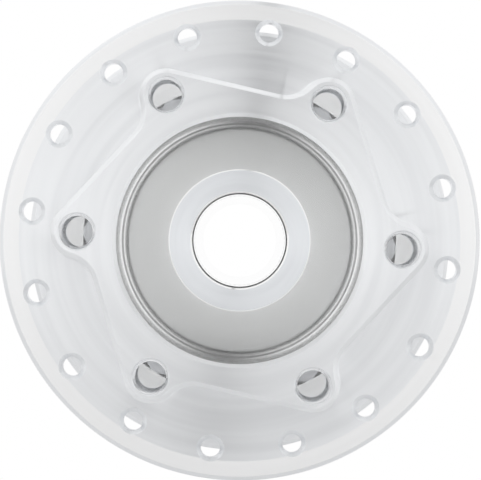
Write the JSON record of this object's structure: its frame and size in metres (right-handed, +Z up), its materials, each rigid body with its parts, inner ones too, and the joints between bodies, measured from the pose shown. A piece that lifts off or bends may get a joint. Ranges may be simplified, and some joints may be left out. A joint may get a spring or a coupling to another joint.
{
  "type": "hub dynamo",
  "caption": "Front wheel hub with a claw-pole dynamo inside, drilled spoke flanges, a pinwheel pad for a bolted brake rotor and a thru-axle bore.",
  "frame": {"origin": "the middle of the hub on the axle line, half-way between the two dropout faces", "axes": "Y along the axle with the brake side at -Y, +Z up along the terminal tabs, +X to the right seen from the brake side"},
  "size_m": [0.0664, 0.1, 0.0664],
  "materials": {
    "hub_aluminium": "turned, bright, clear anodised",
    "cone_aluminium": "fine turned, satin, clear anodised",
    "axle_steel": "ground steel",
    "bearing_steel": "ground and polished bearing steel",
    "soft_iron": "pressed soft iron, grey phosphated",
    "magnet": "sintered magnet, dull",
    "bobbin_plastic": "moulded natural nylon",
    "coil_copper": "enamelled copper winding",
    "lead_insulation": "soft plastic insulation",
    "block_plastic": "moulded glass-filled nylon, satin black",
    "tab_metal": "tin-plated brass"
  },
  "bodies": {
    "axle": {"axle_tube": "axle_steel", "brake_side_cone": "cone_aluminium", "connector_side_cone": "cone_aluminium", "brake_bearing_inner_ring": "bearing_steel", "connector_bearing_inner_ring": "bearing_steel", "brake_claw_pole": "soft_iron", "connector_claw_pole": "soft_iron", "stator_key": "axle_steel", "coil_bobbin": "bobbin_plastic", "coil_winding": "coil_copper", "coil_leads": "lead_insulation", "terminal_block": "block_plastic", "terminal_tab_right": "tab_metal", "terminal_tab_left": "tab_metal"},
    "shell": {"hub_shell": "hub_aluminium", "side_cover": "hub_aluminium", "magnet_yoke": "soft_iron", "rotor_magnets": "magnet", "brake_bearing_outer_ring": "bearing_steel", "connector_bearing_outer_ring": "bearing_steel"}
  },
  "joints": [
    {"name": "hub_spin", "type": "hinge", "parent": "axle", "child": "shell", "pos_m": [0, 0, 0], "axis": [0, 1, 0], "continuous": true}
  ]
}
